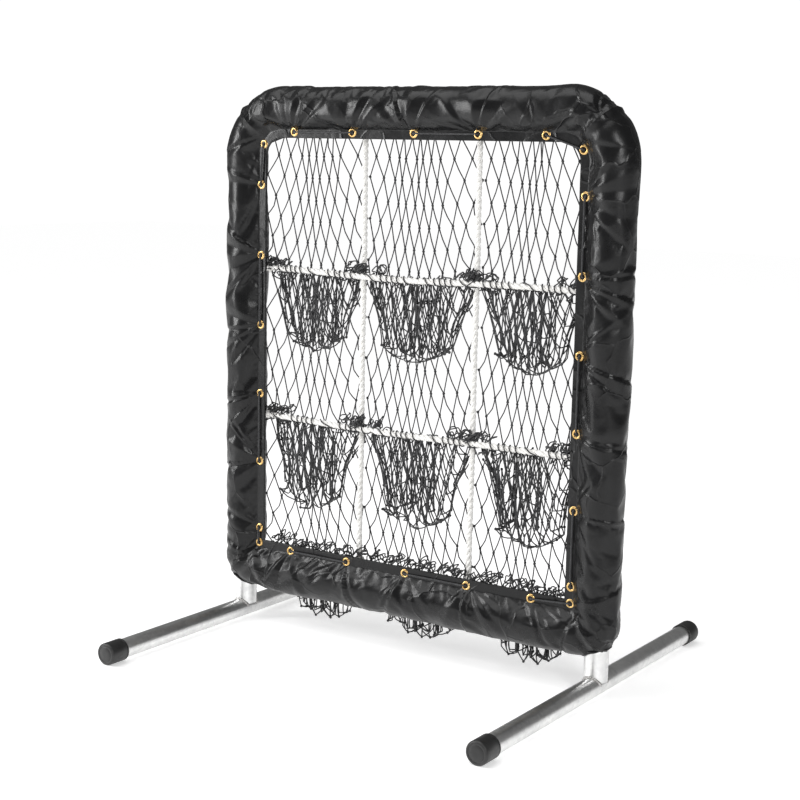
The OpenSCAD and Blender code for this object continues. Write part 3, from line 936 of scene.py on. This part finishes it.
def hang_nets():
    """Lets all the panels fall from where they are tied, with twine that bends but hardly stretches."""
    rng = np.random.default_rng(20)
    names, starts, knots, tied, groups = [], [0], [], [], [[], [], [], []]
    for row in ROWS:
        for column, fold in ((c, f) for c in COLUMNS for f in (False, True)):
            k, t, g = lattice(row, column, fold, rng)
            names.append((row, column))
            for mine, more in zip(groups, g):
                mine += [(a + starts[-1], b + starts[-1]) for a, b in more]
            knots += k
            tied += t
            starts.append(len(knots))
    count = len(knots)
    groups = [np.array(g) for g in groups]
    sizes = [len(g) for g in groups]
    mids = [np.arange(s) + count + sum(sizes[:i]) for i, s in enumerate(sizes)]
    place = np.zeros((count + sum(sizes), 3))
    place[:count] = knots
    for g, m in zip(groups, mids):
        place[m] = (place[g[:, 0]] + place[g[:, 1]]) / 2
    loose = np.ones(len(place))
    loose[:count] = 1 - np.array(tied, float)
    place += rng.normal(0, 0.0015, place.shape) * loose[:, None]
    half = [BAR_LENGTH / 2 * rng.uniform(0.97, 1.03, s) for s in sizes]
    low_row = np.zeros(len(place), bool)
    for i, (row, _) in enumerate(names):
        low_row[starts[i] : starts[i + 1]] = row == "bottom"
    centre, half_wide, lip_of, low_of = (np.zeros(len(place)) for _ in range(4))
    for i, (row, column) in enumerate(names):
        mine = slice(starts[i], starts[i + 1])
        x0, x1 = span(f"net_{row}_{column}", 0)
        centre[mine] = (x0 + x1) / 2 + rng.uniform(-0.012, 0.012)
        half_wide[mine] = (x1 - x0) / 2
        lip_of[mine] = ROWS[row][1]
        low_of[mine] = span(f"net_{row}_{column}", 2)[0] + rng.uniform(0, 0.012)
    for g, m in zip(groups, mids):
        low_row[m] = low_row[g[:, 0]]
        for value in (centre, half_wide, lip_of, low_of):
            value[m] = value[g[:, 0]]

    def pull(a, b, length, much, shorter=False):
        way = place[b] - place[a]
        size = np.linalg.norm(way, axis=1)
        off = size - length
        off = np.minimum(off, 0) if shorter else np.maximum(off, 0)
        share = loose[a] + loose[b]
        move = way * (off / np.maximum(size, 1e-9) / np.maximum(share, 1e-9) * much)[:, None]
        place[a] += move * loose[a][:, None]
        place[b] -= move * loose[b][:, None]

    before = place.copy()
    steps = 260
    for step in range(steps):
        speed = (place - before) * (0.985 if step < steps * 0.6 else 0.93)
        before = place.copy()
        place += (speed + np.array([0, 0, -9.81 * 0.004**2 * 3])) * loose[:, None]
        for _ in range(9):
            for g, m, h in zip(groups, mids, half):
                pull(g[:, 0], m, h, 1.0)
                pull(m, g[:, 1], h, 1.0)
                pull(g[:, 0], g[:, 1], BAR_LENGTH * 0.55, 0.25, shorter=True)
        keep_clear(place, loose > 0, low_row)
        deep = np.clip((lip_of - 0.015 - place[:, 2]) / 0.06, 0, 1)
        room = half_wide * (1.0 - 0.42 * deep)
        off = place[:, 0] - centre
        excess = np.sign(off) * np.maximum(np.abs(off) - room, 0)
        place[:, 0] -= 0.03 * excess * loose
        sling = low_of + 0.085 * (off / half_wide) ** 2
        bag = (place[:, 2] < lip_of) & (place[:, 2] < sling) & (loose > 0)
        place[bag, 2] += 0.3 * (sling - place[:, 2])[bag]
        if step < steps * 0.5:
            place += rng.normal(0, 0.0007, place.shape) * loose[:, None]
    return names, starts, place, groups, mids


def keep_clear(place, free, low_row):
    """Keeps the twine behind the ropes, off the bottom bar's padding and off the floor."""
    place[free, 1] = np.clip(place[free, 1], -0.002, 0.068)
    place[free, 2] = np.maximum(place[free, 2], 0.006)
    away = place[:, 1:] - np.array([0, BAR_Z])
    reach = np.linalg.norm(away, axis=1)
    inside = free & low_row & (reach < PAD_R + 0.003)
    place[inside, 1:] = np.array([0, BAR_Z]) + away[inside] * ((PAD_R + 0.003) / reach[inside])[:, None]


def knot_lumps(centres, rng):
    """A small lumpy knot of two crossed loops at each centre."""
    t = np.linspace(0, 2 * pi, 8, endpoint=False)
    loop = np.stack([np.cos(t), np.sin(t) * 0.4, np.sin(t)], 1) * TWINE_R * 1.30
    spin = rng.uniform(0, pi, len(centres))
    parts = []
    for offset in (0, pi / 2):
        c, s = np.cos(spin + offset)[:, None], np.sin(spin + offset)[:, None]
        across = loop[:, 0] * c - loop[:, 1] * s
        along = loop[:, 0] * s + loop[:, 1] * c
        turned = np.stack([across, along, np.tile(loop[:, 2], (len(spin), 1))], 2)
        parts.append(tubes(turned + centres[:, None], TWINE_R * 1.15, 5, closed=True))
    return parts


def add_nets(material):
    rng = np.random.default_rng(31)
    names, starts, place, groups, mids = hang_nets()
    bars = np.concatenate(groups)
    middles = np.concatenate(mids)
    made = {}
    for k in range(0, len(names), 2):
        row, column = names[k]
        mine = (bars[:, 0] >= starts[k]) & (bars[:, 0] < starts[k + 2])
        a, m, b = place[bars[mine, 0]], place[middles[mine]], place[bars[mine, 1]]
        near_a, near_b = 0.5 * a + 0.5 * m + 0.06 * (m - b), 0.5 * m + 0.5 * b + 0.06 * (m - a)
        parts = [tubes(np.stack([a, near_a, m, near_b, b], 1), TWINE_R, 6)]
        parts += knot_lumps(place[starts[k] : starts[k + 2]], rng)
        obj = mesh_object(f"net_{row}_{column}_twine", *joined(parts), material)
        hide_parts(f"net_{row}_{column}")
        made[(row, column)] = (obj, int(mine.sum()), ROWS[row][2])
    return made


# ---------------------------------------------------------------- steel, welds and caps

SOCKET_R = (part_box("left_socket")[1][0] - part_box("left_socket")[0][0]) / 2
LEG_R = (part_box("left_leg_tube")[1][0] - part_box("left_leg_tube")[0][0]) / 2
LEG_Z = middle("left_leg_tube", 2)
CAP_R = (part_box("left_front_cap")[1][0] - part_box("left_front_cap")[0][0]) / 2


def paint(names, material):
    for name in names:
        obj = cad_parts[name]
        obj.data.materials.clear()
        obj.data.materials.append(material)


def add_socket_weld(side, material, seed):
    """Two rippled beads where the socket stands on the leg tube."""
    rng = np.random.default_rng(seed)
    x = np.sin(np.linspace(-1, 1, 110) * pi / 2) * LEG_R * 0.985
    centre_x = POST_X if side == "right" else -POST_X
    beads = []
    for end in (-1, 1):
        y = end * np.sqrt(SOCKET_R**2 - x**2)
        z = LEG_Z + np.sqrt(LEG_R**2 - x**2)
        line = even_line(np.stack([centre_x + x, y + end * 0.0004, z + 0.0004], 1), 0.0005)
        ripple = 0.5 + 0.5 * np.cos(np.arange(len(line)) * 0.0005 / 0.0028 * 2 * pi)
        size = 0.0021 + 0.0005 * ripple + rng.normal(0, 0.00005, len(line))
        taper = np.minimum(np.arange(len(line)), np.arange(len(line))[::-1]) / 6
        beads.append(tubes(line[None], (size * np.clip(taper, 0.3, 1))[None], 12))
    obj = mesh_object(f"{side}_weld_beads", *joined(beads), material, f"{side}_base")
    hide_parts(f"{side}_socket_weld")


def add_cap(side, end, material):
    """A moulded end cap: a cup with a rounded edge and a shallow ring in its face."""
    name = f"{side}_{end}_cap"
    low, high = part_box(name)
    way = -1 if end == "front" else 1
    start = high[1] if end == "front" else low[1]
    deep = high[1] - low[1]
    turn = np.linspace(0, pi / 2, 9)
    edge = [(CAP_R - 0.0040 + 0.0040 * cos(a), deep - 0.0040 + 0.0040 * sin(a)) for a in turn]
    bore = LEG_R + 0.0003
    profile = [(0.0002, 0.037), (bore, 0.037), (bore, 0.0008), (bore + 0.0006, 0.0)]
    profile += [(CAP_R - 0.0008, 0.0), (CAP_R - 0.0002, 0.0003), (CAP_R, 0.0010), (CAP_R, 0.0030)]
    profile += [(CAP_R - 0.0004, 0.0034), (CAP_R - 0.0004, 0.0042), (CAP_R, 0.0046)] + edge
    profile += [(0.0148, deep), (0.0144, deep - 0.0003), (0.0138, deep - 0.0006), (0.0132, deep - 0.0003)]
    profile += [(0.0128, deep), (0.0040, deep - 0.0001), (0.0002, deep - 0.0001)]
    centre = (POST_X if side == "right" else -POST_X, start, LEG_Z)
    obj = mesh_object(f"{name}_moulding", *lathe(profile, centre, (0, way, 0), 72), material, name)
    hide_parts(name)


def add_cuff(side, material):
    """The bound edge of the hole that the socket comes in by."""
    sign = 1 if side == "right" else -1
    turn = np.linspace(0, 2 * pi, 90, endpoint=False)
    reach = HOLE_R + 0.0012
    x, y = reach * np.cos(turn), reach * np.sin(turn)
    from_corner = CORNER_R + sign * x
    out = CORNER_R + np.sqrt(PAD_R**2 - y**2)
    z = CORNER_Z - np.sqrt(out**2 - from_corner**2)
    wobble = 0.0005 * np.sin(7 * turn + 1)
    line = np.stack([sign * POST_X + x, y, z + 0.0006 + wobble], 1)
    obj = mesh_object(f"cover_cuff_{side}", *tubes(line[None], 0.0024, 10, closed=True), material)


# ---------------------------------------------------------------- the build


def build():
    vinyl, steel, brass = vinyl_material(), steel_material(), brass_material()
    rubber, foam, weld = rubber_material(), foam_material(), weld_material()
    rope = twine_material("white_rope", (0.78, 0.77, 0.74), (0.94, 0.93, 0.91), 0.5)
    twine = twine_material("black_twine", (0.008, 0.008, 0.009), (0.035, 0.035, 0.038), 0.25)
    braid = twine_material("black_braid", (0.010, 0.010, 0.011), (0.045, 0.045, 0.048), 0.2)
    tubes_shown = ["frame_hoop", "bottom_crossbar", "left_socket", "right_socket"]
    tubes_shown += ["left_leg_tube", "right_leg_tube"]
    paint(tubes_shown, steel)
    paint(["crossbar_weld_left", "crossbar_weld_right"], weld)
    for k, side in enumerate(SIDES):
        cover(side, vinyl, foam_sleeve(side, foam), 100 + 10 * k)
    add_grommets(brass)
    add_lacing(braid)
    knot_x = span("rope_upper", 0)[1] - 0.0085
    low, high = span("rope_upright_left", 2)
    upper = add_rope("rope_upper", (-knot_x, LEVEL_ROPE_Y, UPPER_Z), (knot_x, LEVEL_ROPE_Y, UPPER_Z), rope, 1)
    lower = add_rope("rope_lower", (-knot_x, LEVEL_ROPE_Y, LOWER_Z), (knot_x, LEVEL_ROPE_Y, LOWER_Z), rope, 2)
    for side, x in (("left", -UPRIGHT_X), ("right", UPRIGHT_X)):
        ends = (x, UPRIGHT_ROPE_Y, low + 0.0085), (x, UPRIGHT_ROPE_Y, high - 0.0085)
        add_rope(f"rope_upright_{side}", *ends, rope, 3)
    add_wraps("upper_rope_wraps", upper, -0.322, 0.322, twine, 5)
    add_wraps("lower_rope_wraps", lower, -0.322, 0.322, twine, 6)
    add_ties(twine)
    nets = add_nets(twine)
    for k, side in enumerate(("left", "right")):
        add_socket_weld(side, weld, 50 + k)
        add_cuff(side, vinyl)
        for end in ("front", "rear"):
            add_cap(side, end, rubber)


add_camera()
add_light()
add_floor()
build()
